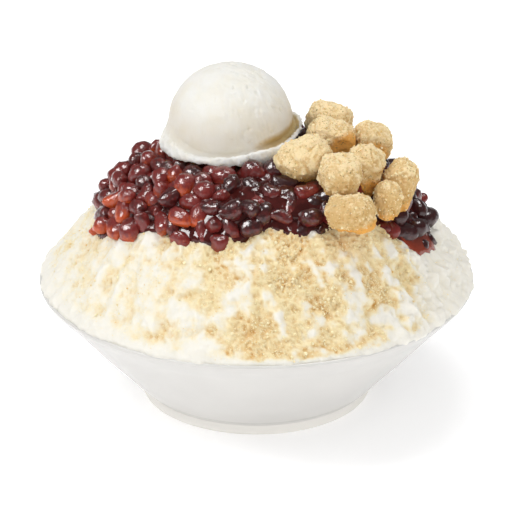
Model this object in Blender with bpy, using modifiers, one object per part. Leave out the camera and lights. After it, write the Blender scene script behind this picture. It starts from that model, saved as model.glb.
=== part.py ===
"""A bowl of bingsu: milk snow heaped in a white bowl, with sweet beans, rice cakes and a scoop of ice cream.

The object stands on Z = 0 with the bowl's axis on Z. +X is its right side and -Y its front.
Every sub-part is one closed solid. Neighbours keep a gap of a few tenths of a millimetre.
"""

import math

import bmesh
import bpy
from mathutils import Euler, Vector, noise

MM = 0.001
GAP = 0.4 * MM

# Bowl
RIM_RADIUS = 96.0 * MM
BOWL_HEIGHT = 55.0 * MM
LIP_THICKNESS = 1.8 * MM
WALL_THICKNESS = 3.0 * MM
SHOULDER_DEPTH = 9.0 * MM
BELLY_RADIUS = 60.0 * MM
BELLY_HEIGHT = 14.0 * MM
FOOT_RADIUS = 50.5 * MM
FOOT_HEIGHT = 5.0 * MM
FOOT_WIDTH = 4.0 * MM
FOOT_RECESS = 2.5 * MM
FLOOR_TOP = 8.0 * MM

# Snow. The heap's middle leans a little to the right and to the front of the bowl's axis.
HEAP_CENTRE = Vector((3.0 * MM, -1.5 * MM))
SNOW_BASE = BOWL_HEIGHT - 1.0 * MM
SNOW_RISE = 57.0 * MM
SNOW_REACH = RIM_RADIUS - LIP_THICKNESS - GAP
BACK_FALL = 0.2
BACK_FALL_ANGLE = math.radians(70.0)
LEDGE_CENTRE = Vector((42.0 * MM, -54.0 * MM))
LEDGE_SPREAD = 13.0 * MM
LEDGE_RISE = 9.0 * MM
LUMP_SPACING = 14.0 * MM
LUMP_HEIGHT = 180.0 * MM

# Beans
BEAN_DEPTH = 8.0 * MM
BEAN_EDGE_DEPTH = 6.5 * MM
BEAN_BUMP_SPACING = 7.0 * MM
BEAN_BUMP_HEIGHT = 1.2 * MM

# Ice cream
SCOOP_RADIUS = 26.6 * MM
SCOOP_LIFT = 5.3 * MM
SKIRT_RADIUS = 31.0 * MM
SKIRT_THICKNESS = 2.6 * MM
SCOOP_SEAT = Vector((-10.4 * MM, 4.0 * MM, 119.0 * MM))
SCOOP_TILT = Euler((0.0, math.radians(-8.5), 0.0))

# How finely the round pieces are divided
BOWL_STEPS = 64
SCOOP_STEPS = 36
SCOOP_RINGS = 9
OUTLINE_RINGS = 6
SHOULDER_RINGS = 5

# One row for each rice cake: its centre and its three lengths in millimetres, and its turns in degrees.
RICE_CAKES = (
    ("rice_cake_top", (32.0, 18.0, 119.3), (19.0, 17.5, 17.0), (6, 8, 20)),
    ("rice_cake_upper_middle", (32.0, -1.2, 119.5), (21.0, 16.5, 13.5), (10, 14, -6)),
    ("rice_cake_upper_right", (50.2, 3.8, 115.3), (16.0, 16.6, 16.5), (4, 12, 10)),
    ("rice_cake_left", (20.2, -27.5, 120.4), (23.5, 19.0, 17.0), (-6, -22, 12)),
    ("rice_cake_centre", (35.3, -41.8, 118.7), (16.5, 17.5, 16.5), (8, 6, -14)),
    ("rice_cake_middle_right", (46.5, -27.6, 115.2), (12.9, 17.0, 21.4), (-8, 10, 20)),
    ("rice_cake_far_right", (61.3, -26.6, 107.8), (13.3, 17.5, 22.5), (0, 16, -8)),
    ("rice_cake_small", (55.3, -41.6, 106.5), (10.4, 12.8, 15.4), (6, 4, 14)),
    ("rice_cake_lowest", (39.6, -59.0, 108.6), (21.2, 18.0, 14.2), (-10, 3, 4)),
)


def clear_scene():
    for obj in list(bpy.data.objects):
        bpy.data.objects.remove(obj, do_unlink=True)


def new_collection(name):
    collection = bpy.data.collections.new(name)
    bpy.context.scene.collection.children.link(collection)
    return collection


def surface_material(name, colour, roughness):
    material = bpy.data.materials.new(name)
    material.use_nodes = True
    shader = material.node_tree.nodes["Principled BSDF"]
    shader.inputs["Base Color"].default_value = (*colour, 1.0)
    shader.inputs["Roughness"].default_value = roughness
    shader.inputs["Metallic"].default_value = 0.0
    return material


def turned(name, profile, collection, steps=BOWL_STEPS):
    """An object turned about Z from (radius, height) points that run down its outer side."""
    mesh = bpy.data.meshes.new(name)
    points = [(radius, 0.0, height) for radius, height in profile]
    mesh.from_pydata(points, [(i, i + 1) for i in range(len(points) - 1)], [])
    obj = bpy.data.objects.new(name, mesh)
    collection.objects.link(obj)
    screw = obj.modifiers.new("turn", "SCREW")
    screw.axis = "Z"
    screw.steps = steps
    screw.render_steps = steps
    screw.use_merge_vertices = True
    screw.merge_threshold = 0.02 * MM
    return obj


def applied(obj):
    """The object with its modifiers made part of its mesh."""
    graph = bpy.context.evaluated_depsgraph_get()
    mesh = bpy.data.meshes.new_from_object(obj.evaluated_get(graph))
    obj.modifiers.clear()
    obj.data = mesh
    return obj


def finish(obj, material, sharp_degrees=40.0):
    obj.data.materials.clear()
    obj.data.materials.append(material)
    obj.data.shade_smooth()
    obj.data.set_sharp_from_angle(angle=math.radians(sharp_degrees))


# Bowl

def wall_inside():
    """The bowl's inner side from just under the lip to its middle, as (radius, height) points."""
    return [
        (RIM_RADIUS - LIP_THICKNESS, SNOW_BASE),
        (RIM_RADIUS - SHOULDER_DEPTH - WALL_THICKNESS, 0.82 * BOWL_HEIGHT),
        (BELLY_RADIUS - WALL_THICKNESS, BELLY_HEIGHT + 1.0 * MM),
        (FOOT_RADIUS - 1.5 * MM, FLOOR_TOP + 1.0 * MM),
        (0.0, FLOOR_TOP),
    ]


def make_bowl(collection):
    outside = [
        (RIM_RADIUS - 0.5 * LIP_THICKNESS, BOWL_HEIGHT),
        (RIM_RADIUS, BOWL_HEIGHT - 0.8 * MM),
        (RIM_RADIUS - SHOULDER_DEPTH, 0.80 * BOWL_HEIGHT),
        (BELLY_RADIUS, BELLY_HEIGHT),
        (FOOT_RADIUS + 3.5 * MM, FOOT_HEIGHT + 1.5 * MM),
        (FOOT_RADIUS + 0.5 * MM, FOOT_HEIGHT),
        (FOOT_RADIUS, 0.6 * MM),
        (FOOT_RADIUS - 0.8 * MM, 0.0),
        (FOOT_RADIUS - FOOT_WIDTH, 0.0),
        (FOOT_RADIUS - FOOT_WIDTH - 1.0 * MM, FOOT_RECESS),
        (0.0, FOOT_RECESS),
    ]
    bowl = turned("bowl", wall_inside()[::-1] + outside, collection)
    finish(bowl, surface_material("glazed porcelain", (0.86, 0.87, 0.86), 0.15))
    return bowl


# Heap of snow and beans

def bean_outline(angle):
    """How far out the beans reach at this angle about the heap, as a share of the way to the rim."""
    oval = 0.695 + 0.02 * math.cos(angle) + 0.10 * math.cos(2.0 * angle)
    lobes = 0.018 * math.cos(3.0 * angle - 0.5) + 0.022 * math.cos(8.0 * angle - 3.5)
    slipped = 0.045 * max(0.0, math.cos(angle - math.radians(195.0))) ** 60
    return oval + lobes + slipped


def heap_place(share, angle):
    """The point over the heap this share of the way from its middle to the rim."""
    reach = SNOW_REACH * share
    return HEAP_CENTRE * (1.0 - share) + Vector((reach * math.cos(angle), reach * math.sin(angle)))


def snow_height(share, angle):
    """The heaped snow: a round-shouldered dome, with lumps only where no beans cover it.

    It falls away behind on the right, and has a ledge in front on the right that holds the rice cakes.
    """
    fall = BACK_FALL * share * max(0.0, math.cos(angle - BACK_FALL_ANGLE))
    dome = SNOW_RISE * (1.0 - fall) * max(0.0, 1.0 - share**2.4) ** 0.92
    place = heap_place(share, angle)
    ledge = LEDGE_RISE * math.exp(-0.5 * ((place - LEDGE_CENTRE).length / LEDGE_SPREAD) ** 2)
    ledge *= min(1.0, 8.0 * (1.0 - share))
    bare = max(0.0, share - bean_outline(angle) - 0.02) * max(0.0, 1.0 - share)
    lump = noise.noise(Vector((place.x / LUMP_SPACING, place.y / LUMP_SPACING, 4.0)))
    return SNOW_BASE + dome + ledge + LUMP_HEIGHT * bare * lump


def bean_depth(inner_share, angle):
    """The thickness of the beans, where inner_share runs from 0 at the middle to 1 at their blunt edge."""
    rounded = math.sqrt(max(0.0, 1.0 - inner_share**10))
    place = heap_place(inner_share * bean_outline(angle), angle) / BEAN_BUMP_SPACING
    bump = BEAN_BUMP_HEIGHT * noise.noise(Vector((place.x, place.y, 9.0)))
    return (BEAN_DEPTH + BEAN_EDGE_DEPTH * inner_share**2 + bump) * rounded


def inner_share_of(ring):
    """Rings under the beans lie closer together towards the beans' edge."""
    return (ring / OUTLINE_RINGS) ** 0.75


def make_snow(collection):
    """Snow that fills the bowl and stands above it. The rings of its dome follow the beans' outline."""
    wall = [(max(0.0, radius - GAP), height + GAP) for radius, height in wall_inside()]
    wall[0] = (SNOW_REACH, SNOW_BASE - 0.1 * MM)
    rings = OUTLINE_RINGS + SHOULDER_RINGS
    dome = [(SNOW_REACH * ring / rings, BOWL_HEIGHT) for ring in range(rings)]
    snow = applied(turned("shaved_ice", dome + wall, collection))
    for vertex in snow.data.vertices:
        if vertex.co.z < SNOW_BASE:
            continue
        angle = math.atan2(vertex.co.y, vertex.co.x)
        ring = round(rings * math.hypot(vertex.co.x, vertex.co.y) / SNOW_REACH)
        share = bean_outline(angle)
        if ring <= OUTLINE_RINGS:
            share *= inner_share_of(ring)
        else:
            share += (1.0 - share) * (ring - OUTLINE_RINGS) / SHOULDER_RINGS
        place = heap_place(share, angle)
        vertex.co = (place.x, place.y, snow_height(share, angle))
    finish(snow, surface_material("milk snow", (0.94, 0.93, 0.90), 0.7), 60.0)
    return snow


def make_beans(collection):
    """The heap of sweet beans in syrup, lying on the snow, out to its uneven outline."""
    top = [(inner_share_of(ring), 1.0 * MM) for ring in range(OUTLINE_RINGS)]
    under = [(share, -height) for share, height in reversed(top)]
    beans = applied(turned("red_beans", top + [(1.0, 0.0)] + under, collection))
    for vertex in beans.data.vertices:
        angle = math.atan2(vertex.co.y, vertex.co.x)
        inner_share = math.hypot(vertex.co.x, vertex.co.y)
        share = inner_share * bean_outline(angle)
        height = snow_height(share, angle) + GAP
        if vertex.co.z > 0.5 * MM:
            height += bean_depth(inner_share, angle)
        place = heap_place(share, angle)
        vertex.co = (place.x, place.y, height)
    finish(beans, surface_material("sweet red beans", (0.13, 0.03, 0.03), 0.2), 60.0)
    return beans


# Toppings

def make_scoop(collection):
    """A scoop of ice cream: most of a ball, with the thin skirt that the scoop's edge pressed out."""
    last = math.radians(100.0)
    arc = [last * ring / SCOOP_RINGS for ring in range(SCOOP_RINGS + 1)]
    ball = [(SCOOP_RADIUS * math.sin(turn), SCOOP_LIFT + SCOOP_RADIUS * math.cos(turn)) for turn in arc]
    skirt = [
        (SKIRT_RADIUS - 3.0 * MM, 0.0),
        (SKIRT_RADIUS - 0.5 * MM, 0.6 * MM),
        (SKIRT_RADIUS, -0.6 * MM),
        (SKIRT_RADIUS - 2.0 * MM, 0.6 * MM - SKIRT_THICKNESS),
        (0.0, -SKIRT_THICKNESS),
    ]
    scoop = applied(turned("ice_cream", ball + skirt, collection, SCOOP_STEPS))
    for vertex in scoop.data.vertices:
        out = math.hypot(vertex.co.x, vertex.co.y)
        angle = math.atan2(vertex.co.y, vertex.co.x)
        frill = max(0.0, out - SCOOP_RADIUS) / (SKIRT_RADIUS - SCOOP_RADIUS)
        wave = noise.noise(Vector((2.2 * math.cos(angle), 2.2 * math.sin(angle), 1.0)))
        vertex.co *= 1.0 + 0.05 * frill * wave + 0.008 * noise.noise(vertex.co / (14.0 * MM))
    scoop.location = SCOOP_SEAT
    scoop.rotation_euler = SCOOP_TILT
    finish(scoop, surface_material("vanilla ice cream", (0.90, 0.86, 0.76), 0.5))
    return scoop


def make_rice_cake(name, centre, lengths, turns, number, collection):
    """A hand-cut piece of rice cake: a box whose corners and faces are softened and a little uneven."""
    bm = bmesh.new()
    bmesh.ops.create_cube(bm, size=1.0)
    bmesh.ops.subdivide_edges(bm, edges=bm.edges[:], cuts=1, use_grid_fill=True)
    seed = Vector((3.7, 1.9, 5.3)) * number
    for vertex in bm.verts:
        softened = 0.85 + 0.21 * (0.5 / vertex.co.length) ** 2
        uneven = 1.0 + 0.10 * noise.noise(vertex.co * 1.9 + seed)
        vertex.co *= softened * uneven
    bmesh.ops.scale(bm, vec=Vector(lengths) * MM, verts=bm.verts)
    mesh = bpy.data.meshes.new(name)
    bm.to_mesh(mesh)
    bm.free()
    cake = bpy.data.objects.new(name, mesh)
    collection.objects.link(cake)
    cake.location = Vector(centre) * MM
    cake.rotation_euler = [math.radians(turn) for turn in turns]
    soften = cake.modifiers.new("soften", "SUBSURF")
    soften.levels = 1
    soften.render_levels = 1
    return cake


# Room for the toppings in the heap

def room_for_cake(cake, cutters):
    """A copy of the rice cake that is a gap wider all round."""
    room = cake.copy()
    room.data = cake.data.copy()
    room.name = "room_for_" + cake.name
    swell = room.modifiers.new("swell", "DISPLACE")
    swell.strength = GAP
    swell.mid_level = 0.0
    cutters.objects.link(room)
    return room


def room_for_scoop(cutters):
    """The hollow that the scoop is set down in, open above its skirt."""
    side = SKIRT_RADIUS + 1.6 * MM
    bottom = -SKIRT_THICKNESS - GAP
    profile = [
        (0.0, SCOOP_RADIUS),
        (side, SCOOP_RADIUS),
        (side, bottom + 1.0 * MM),
        (side - 2.0 * MM, bottom + 0.6 * MM),
        (0.0, bottom),
    ]
    room = turned("room_for_ice_cream", profile, cutters, SCOOP_STEPS)
    room.location = SCOOP_SEAT
    room.rotation_euler = SCOOP_TILT
    return room


def cut_room(heap, room):
    room.hide_render = True
    room.display_type = "WIRE"
    cut = heap.modifiers.new(room.name, "BOOLEAN")
    cut.operation = "DIFFERENCE"
    cut.solver = "EXACT"
    cut.object = room


def main():
    clear_scene()
    parts = new_collection("bingsu")
    cutters = new_collection("cutters")
    make_bowl(parts)
    make_snow(parts)
    beans = make_beans(parts)
    make_scoop(parts)
    rooms = [room_for_scoop(cutters)]
    dusted = surface_material("rice cake in soybean flour", (0.80, 0.62, 0.34), 0.9)
    for number, (name, centre, lengths, turns) in enumerate(RICE_CAKES):
        cake = make_rice_cake(name, centre, lengths, turns, number, parts)
        finish(cake, dusted, 60.0)
        rooms.append(room_for_cake(cake, cutters))
    bpy.context.view_layer.update()
    for room in rooms:
        cut_room(beans, room)


main()
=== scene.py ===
"""The looks of a bowl of bingsu: a heap of milk snow dusted with soybean flour, sweet red beans in
syrup, nine floured rice cakes and a scoop of vanilla ice cream, in a white porcelain bowl.

Every new piece is a surface worked out with numpy, in metres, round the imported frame. The bowl's axis
is Z and the front is towards -Y.
"""

import itertools
import math

import bpy
import numpy as np
from bpy.props import FloatProperty, FloatVectorProperty, IntProperty, PointerProperty
from mathutils import Euler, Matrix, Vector


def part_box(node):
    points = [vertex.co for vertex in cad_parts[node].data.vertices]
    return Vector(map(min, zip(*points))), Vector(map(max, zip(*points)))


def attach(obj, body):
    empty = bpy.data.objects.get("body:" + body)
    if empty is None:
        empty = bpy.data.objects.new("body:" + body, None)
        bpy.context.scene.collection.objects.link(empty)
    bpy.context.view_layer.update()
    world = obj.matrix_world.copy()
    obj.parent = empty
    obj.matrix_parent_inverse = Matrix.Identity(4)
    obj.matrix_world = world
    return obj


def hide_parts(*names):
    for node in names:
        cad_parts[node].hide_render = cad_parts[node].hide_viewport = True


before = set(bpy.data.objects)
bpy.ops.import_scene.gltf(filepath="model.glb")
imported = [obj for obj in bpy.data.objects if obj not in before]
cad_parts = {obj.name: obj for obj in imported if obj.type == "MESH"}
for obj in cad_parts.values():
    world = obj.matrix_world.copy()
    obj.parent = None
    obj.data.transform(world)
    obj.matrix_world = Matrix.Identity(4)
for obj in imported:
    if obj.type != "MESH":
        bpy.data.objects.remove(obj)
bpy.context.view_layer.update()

bl_info = {
    "name": "Bowl of bingsu",
    "version": (1, 0, 0),
    "blender": (4, 5, 0),
    "location": "3D View > Sidebar > Bingsu",
    "description": "Makes the snow, beans, rice cakes, ice cream and bowl of a bingsu",
    "category": "Object",
}

MM = 0.001
RICE_CAKES = sorted(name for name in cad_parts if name.startswith("rice_cake"))

# Places from the frame
RIM_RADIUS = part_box("bowl")[1].x
BOWL_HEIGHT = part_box("bowl")[1].z
SNOW_BASE = BOWL_HEIGHT - 1.0 * MM
SNOW_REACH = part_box("shaved_ice")[1].x

# The heap's form, as in the part's own source
HEAP_CENTRE = np.array((3.0, -1.5)) * MM
SNOW_RISE = 57.0 * MM
DOME_SHOULDER = 2.4
DOME_CROWN = 0.92
BACK_FALL = 0.2
BACK_FALL_ANGLE = math.radians(70.0)
LEDGE_CENTRE = np.array((42.0, -54.0)) * MM
LEDGE_SPREAD = 13.0 * MM
LEDGE_RISE = 9.0 * MM
BEAN_DEPTH = 8.0 * MM
BEAN_EDGE_DEPTH = 6.5 * MM
SCOOP_RADIUS = 26.6 * MM
SCOOP_LIFT = 5.3 * MM
SKIRT_RADIUS = 31.0 * MM
SKIRT_THICKNESS = 2.6 * MM
SCOOP_SEAT = np.array((-10.4, 4.0, 119.0)) * MM
SCOOP_TURN = np.array(Euler((0.0, math.radians(-8.5), 0.0)).to_matrix())

# Where a rice cake has a peak or a notch: its direction from the middle, height in millimetres and
# half width in radians
CAKE_MARKS = {
    "rice_cake_left": (((-0.35, -0.3, -0.88), -1.6, 0.32), ((0.5, -0.2, 0.8), 0.8, 0.5)),
    "rice_cake_middle_right": (((0.1, -0.3, 1.0), 1.6, 0.25), ((0.9, -0.3, 0.3), 0.8, 0.3)),
    "rice_cake_small": (((-0.1, -0.2, 1.0), 1.8, 0.35),),
    "rice_cake_lowest": (((0.1, -0.9, 0.45), 0.7, 0.25), ((0.9, -0.2, 0.5), -0.8, 0.5)),
    "rice_cake_upper_right": (((0.2, -0.9, -0.2), -0.7, 0.6),),
}

# The side of a rice cake that faces a neighbour, where a painted golden glow of light bounced between the
# cakes lies
GLOW_SIDES = {
    "rice_cake_upper_right": (0.0, -0.9, -0.45),
    "rice_cake_upper_middle": (0.7, -0.7, -0.45),
    "rice_cake_far_right": (-0.8, -0.4, -0.2),
    "rice_cake_middle_right": (0.1, -0.5, -0.9),
    "rice_cake_lowest": (0.5, -0.3, -1.0),
}

# Where syrup has run out from under the beans: its angle about the heap in degrees, how far out it runs
# as a share of the way to the rim, and its half width in degrees
SYRUP_RUNS = ((-13.6, 0.045, 8.0), (-25.0, 0.05, 8.0), (-19.0, 0.02, 8.0), (-74.0, 0.02, 6.0))

# Where the flour lies: its middle and spread across the bowl, and where it ends on the right
FLOUR_MIDDLE = 33.0 * MM
FLOUR_SPREAD = 36.0 * MM
FLOUR_FADE = (58.0 * MM, 76.0 * MM)

# The layers of beans: how far each lies under the heap's skin, and the least distance between two of
# its beans as a share of half a bean's width
BEAN_LAYERS = ((0.0, 1.75), (2.2 * MM, 1.5), (4.4 * MM, 1.35))

# Where the snow starts to rise at the rim, as a share of the way from the heap's middle, and how far
# inside the bowl it ends
BRIM_START = 0.93
SNOW_END = 16.0 * MM

# Points round each surface, and the rice cakes' rows
BOWL_COLUMNS = 224
SNOW_COLUMNS = 840
SYRUP_COLUMNS = 360
SCOOP_COLUMNS = 400
CAKE_ROWS = 104
CAKE_COLUMNS = 150

# The glaze is wiped off the foot ring, outside this radius and below this height, and the unglazed foot
# there is painted lighter than the glaze, as painted light
BARE_CLAY_RADIUS = 40.0 * MM
BARE_CLAY_HEIGHT = 4.6 * MM

# The flat cuts that give a rice cake its facets, and how sharp the edges between them are
CAKE_CUTS = 18
CUT_SHARPNESS = 26.0
CAKE_CRUMB_RADIUS = 0.26 * MM

# Rows of the scoop's grid: down the ball, out over the skirt, down its edge and back under it
BALL_ROWS = 110
SKIRT_ROWS = 16
EDGE_ROWS = 12
UNDER_ROWS = 10

# What the camera looks at, and what the lamps point at
CAMERA_TARGET = (1.59 * MM, 0.0, 64.5 * MM)
LAMP_TARGET = (0.0, 0.0, 80.0 * MM)

# The lamps: name, place, width in metres, power in watts, and whether it shows only as a mirrored glint
LAMPS = (
    ("key", (-1.0, -0.35, 1.15), 0.45, 6.5, False),
    ("overhead", (0.02, 0.28, 1.6), 0.7, 6.0, False),
    ("fill", (0.7, -1.2, 0.9), 1.2, 4.5, False),
    ("low fill", (0.5, -1.4, 0.22), 0.7, 2.0, False),
    ("glint on the left", (-0.9, -0.55, 1.15), 0.75, 34.0, True),
    ("glint on top", (0.35, 0.2, 1.5), 0.5, 13.0, True),
)


# Colours

def linear(hex_colour):
    """The linear red, green and blue of an sRGB hex colour."""
    channels = [int(hex_colour[i : i + 2], 16) / 255.0 for i in (1, 3, 5)]
    return tuple(c / 12.92 if c <= 0.04045 else ((c + 0.055) / 1.055) ** 2.4 for c in channels)


# Shapes on grids

GRADIENTS = np.random.default_rng(11).normal(size=(1024, 3))
GRADIENTS /= np.linalg.norm(GRADIENTS, axis=1)[:, None]


def noise(places, spacing, seed=0):
    """Gradient noise of about -1 to 1. Each corner of a lattice holds a fixed direction, and a place's
    value is the smooth mean of how far it lies along the directions at the eight corners round it."""
    scaled = np.reshape(places, (-1, 3)) / spacing
    cell = np.floor(scaled).astype(np.int64)
    inside = scaled - cell
    fade = inside**3 * (inside * (inside * 6.0 - 15.0) + 10.0)
    total = np.zeros(len(scaled))
    for corner in itertools.product((0, 1), repeat=3):
        key = (cell + corner) @ np.array((73856093, 19349663, 83492791)) + 7919 * seed
        direction = GRADIENTS[(key ^ (key >> 13)) % len(GRADIENTS)]
        weight = np.where(corner, fade, 1.0 - fade).prod(axis=1)
        total += weight * np.einsum("ij,ij->i", direction, inside - corner)
    return 1.5 * total.reshape(np.shape(places)[:-1])


def layered_noise(places, spacing, seed=0, layers=3):
    """Noise with finer and weaker noise on top, each layer half the size and half the height."""
    return sum(noise(places, spacing / 2.0**n, seed + n) / 2.0**n for n in range(layers))


def step_between(low, high, value):
    """0 below low, 1 above high, and a smooth S between them."""
    share = np.clip((value - low) / (high - low), 0.0, 1.0)
    return share * share * (3.0 - 2.0 * share)


def turn(count):
    """count angles, evenly spread round a whole turn."""
    return 2.0 * np.pi * np.arange(count) / count


def net(down, around):
    """Each value down with each value around, as two grids."""
    return np.meshgrid(down, around, indexing="ij")


def normals_of(grid):
    """Unit normals of a grid of points (rows, columns, 3) that closes along its columns: the cross
    product of the steps down the rows and along the columns."""
    down = np.gradient(grid, axis=0)
    along = np.roll(grid, -1, axis=1) - np.roll(grid, 1, axis=1)
    normal = np.cross(down, along)
    return normal / np.maximum(np.linalg.norm(normal, axis=2, keepdims=True), 1e-12)


def closed_surface(grid, first_pole, last_pole):
    """Points and faces of a grid that closes along its columns and ends in a pole at each end."""
    rows, columns = grid.shape[:2]
    points = np.vstack([first_pole, grid.reshape(-1, 3), last_pole])
    row, column = net(np.arange(rows - 1), np.arange(columns))
    after = (column + 1) % columns
    corners = ((row, column), (row + 1, column), (row + 1, after), (row, after))
    quads = np.stack([1 + r * columns + c for r, c in corners], axis=-1).reshape(-1, 4)
    around = np.arange(columns)
    after = (around + 1) % columns
    end = len(points) - 1
    last = 1 + (rows - 1) * columns
    caps = np.vstack([
        np.stack([np.zeros(columns, int), 1 + around, 1 + after], axis=1),
        np.stack([np.full(columns, end), last + after, last + around], axis=1),
    ])
    return points, quads.tolist() + caps.tolist()


def with_poles(values, first=0.0, last=0.0):
    """A grid's values with its poles' values, in the order of closed_surface's points."""
    return np.concatenate([[first], values.ravel(), [last]])


def ball_grid(rows, columns):
    """Unit directions (rows, columns, 3) from near +Z to near -Z, without the two poles."""
    down, angle = net(np.pi * (np.arange(rows) + 1.0) / (rows + 1.0), turn(columns))
    return np.stack([np.sin(down) * np.cos(angle), np.sin(down) * np.sin(angle), np.cos(down)], axis=-1)


def joined(shapes, faces):
    """Points and faces of many shapes (count, corners, 3) that share one list of faces."""
    count, corners = shapes.shape[:2]
    every = [[index + shape * corners for index in face] for shape in range(count) for face in faces]
    return shapes.reshape(-1, 3), every


def random_turns(rng, count):
    """Rotation matrices (count, 3, 3), evenly spread, from unit quaternions."""
    w, x, y, z = rng.normal(size=(count, 4)).T
    size = w * w + x * x + y * y + z * z
    rows = [
        [w * w + x * x - y * y - z * z, 2 * (x * y - w * z), 2 * (x * z + w * y)],
        [2 * (x * y + w * z), w * w - x * x + y * y - z * z, 2 * (y * z - w * x)],
        [2 * (x * z - w * y), 2 * (y * z + w * x), w * w - x * x - y * y + z * z],
    ]
    return np.moveaxis(np.array(rows) / size, -1, 0)


# Pieces and materials

def new_piece(name, points, faces, material, replaces=(), attributes=None, smooth=True):
    """A mesh object at the origin that rides on the part's one body."""
    mesh = bpy.data.meshes.new(name)
    mesh.from_pydata(points, [], faces)
    mesh.validate()
    for attribute, values in (attributes or {}).items():
        layer = mesh.attributes.new(attribute, "FLOAT", "POINT")
        layer.data.foreach_set("value", np.asarray(values, np.float32))
    if smooth:
        mesh.shade_smooth()
    mesh.materials.append(material)
    piece = bpy.data.objects.new(name, mesh)
    bpy.context.scene.collection.objects.link(piece)
    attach(piece, "root")
    if replaces:
        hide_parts(*replaces)
    return piece


def add_node(material, kind, settings=None, links=None):
    """A new node. settings holds its properties and input values, and links the outputs that feed its
    inputs, each by name or by the input's number."""
    tree = material.node_tree
    node = tree.nodes.new(kind)
    for name, value in (settings or {}).items():
        if isinstance(name, int) or name in node.inputs:
            node.inputs[name].default_value = value
        else:
            setattr(node, name, value)
    for name, output in (links or {}).items():
        tree.links.new(output, node.inputs[name])
    return node


def new_material(name, finish):
    """A material with one Principled BSDF, whose plain values are in finish."""
    material = bpy.data.materials.new(name)
    material.use_nodes = True
    shader = material.node_tree.nodes["Principled BSDF"]
    for socket, value in finish.items():
        shader.inputs[socket].default_value = value
    return material, shader


def sunk_light(weight, radius, scale=1.0 * MM):
    """How light sinks in: the share that does, how far the red, green and blue go, and their scale."""
    return {"Subsurface Weight": weight, "Subsurface Radius": radius, "Subsurface Scale": scale}


def pattern(material, spacing, detail=2.0, roughness=0.5, distortion=0.0, offset=(0.0, 0.0, 0.0)):
    """Blender's noise on the piece's Object coordinates, with lumps about spacing metres apart."""
    place = add_node(material, "ShaderNodeTexCoord").outputs["Object"]
    moved = add_node(material, "ShaderNodeMapping", {"Location": offset}, {"Vector": place})
    settings = {"Scale": 1.0 / spacing, "Detail": detail, "Roughness": roughness, "Distortion": distortion}
    return add_node(material, "ShaderNodeTexNoise", settings, {"Vector": moved.outputs[0]}).outputs[0]


def attribute(material, name):
    """The value that the mesh carries at each point under this name."""
    return add_node(material, "ShaderNodeAttribute", {"attribute_name": name}).outputs["Fac"]


def between(material, value, low, high):
    """value as a share of the way from low to high, held between 0 and 1."""
    settings = {"From Min": low, "From Max": high, "interpolation_type": "SMOOTHSTEP"}
    return add_node(material, "ShaderNodeMapRange", settings, {"Value": value}).outputs[0]


def calculate(material, operation, first, second):
    """The result of one Math node. Its two inputs are outputs of nodes or plain numbers."""
    settings = {"operation": operation}
    links = {}
    for number, value in enumerate((first, second)):
        (settings if isinstance(value, (int, float)) else links)[number] = value
    return add_node(material, "ShaderNodeMath", settings, links).outputs[0]


def mixed(material, share, first, second):
    """A colour between two. Each is a node's output or a linear colour."""
    settings = {"data_type": "RGBA"}
    links = {0: share}
    for number, value in ((6, first), (7, second)):
        if isinstance(value, bpy.types.NodeSocket):
            links[number] = value
        else:
            settings[number] = (*value, 1.0)
    return add_node(material, "ShaderNodeMix", settings, links).outputs[2]


def add_bump(material, shader, height, distance, strength):
    """Turns a height of 0 to 1 into relief that is distance metres tall."""
    settings = {"Distance": distance, "Strength": strength}
    bump = add_node(material, "ShaderNodeBump", settings, {"Height": height})
    material.node_tree.links.new(bump.outputs[0], shader.inputs["Normal"])


def colour_from(material, shader, colour):
    """Feeds the shader's colour from a node's output."""
    material.node_tree.links.new(colour, shader.inputs["Base Color"])


# The heap

def bean_outline(angle):
    """How far out the beans reach at this angle about the heap, as a share of the way to the rim: an
    oval with shallow lobes, and a narrow tongue on the left where beans have slipped."""
    oval = 0.695 + 0.02 * np.cos(angle) + 0.10 * np.cos(2.0 * angle)
    lobes = 0.018 * np.cos(3.0 * angle - 0.5) + 0.022 * np.cos(8.0 * angle - 3.5)
    slipped = 0.045 * np.maximum(0.0, np.cos(angle - math.radians(195.0))) ** 60
    return oval + lobes + slipped


def syrup_reach(angle):
    """How far past the beans syrup has run at this angle, as a share of the way to the rim: each run
    narrows evenly from its middle to a point on either side."""
    reach = 0.0 * angle
    for middle, length, width in SYRUP_RUNS:
        turned = np.abs(np.angle(np.exp(1j * (angle - math.radians(middle))))) / math.radians(width)
        reach = reach + length * np.clip(1.0 - turned, 0.0, 1.0)
    return reach


def heap_point(share, angle, lift=0.0):
    """The snow's smooth form: a round-shouldered dome that falls away behind on the right, with a
    ledge in front on the right. share runs from 0 in the middle to 1 at the rim."""
    x = HEAP_CENTRE[0] * (1.0 - share) + SNOW_REACH * share * np.cos(angle)
    y = HEAP_CENTRE[1] * (1.0 - share) + SNOW_REACH * share * np.sin(angle)
    fall = BACK_FALL * share * np.maximum(0.0, np.cos(angle - BACK_FALL_ANGLE))
    dome = SNOW_RISE * (1.0 - fall) * np.maximum(0.0, 1.0 - share**DOME_SHOULDER) ** DOME_CROWN
    apart = (x - LEDGE_CENTRE[0]) ** 2 + (y - LEDGE_CENTRE[1]) ** 2
    ledge = LEDGE_RISE * np.exp(-0.5 * apart / LEDGE_SPREAD**2) * np.clip(8.0 * (1.0 - share), 0.0, 1.0)
    return np.stack([x, y, SNOW_BASE + dome + ledge + lift], axis=-1)


def share_and_angle(x, y):
    """The heap's share and angle at a place: heap_point solved for them, which is a quadratic."""
    away_x = x - HEAP_CENTRE[0]
    away_y = y - HEAP_CENTRE[1]
    leading = SNOW_REACH**2 - HEAP_CENTRE @ HEAP_CENTRE
    middle = away_x * HEAP_CENTRE[0] + away_y * HEAP_CENTRE[1]
    share = (middle + np.sqrt(middle**2 + leading * (away_x**2 + away_y**2))) / leading
    angle = np.arctan2(away_y + HEAP_CENTRE[1] * share, away_x + HEAP_CENTRE[0] * share)
    return share, angle


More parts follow.
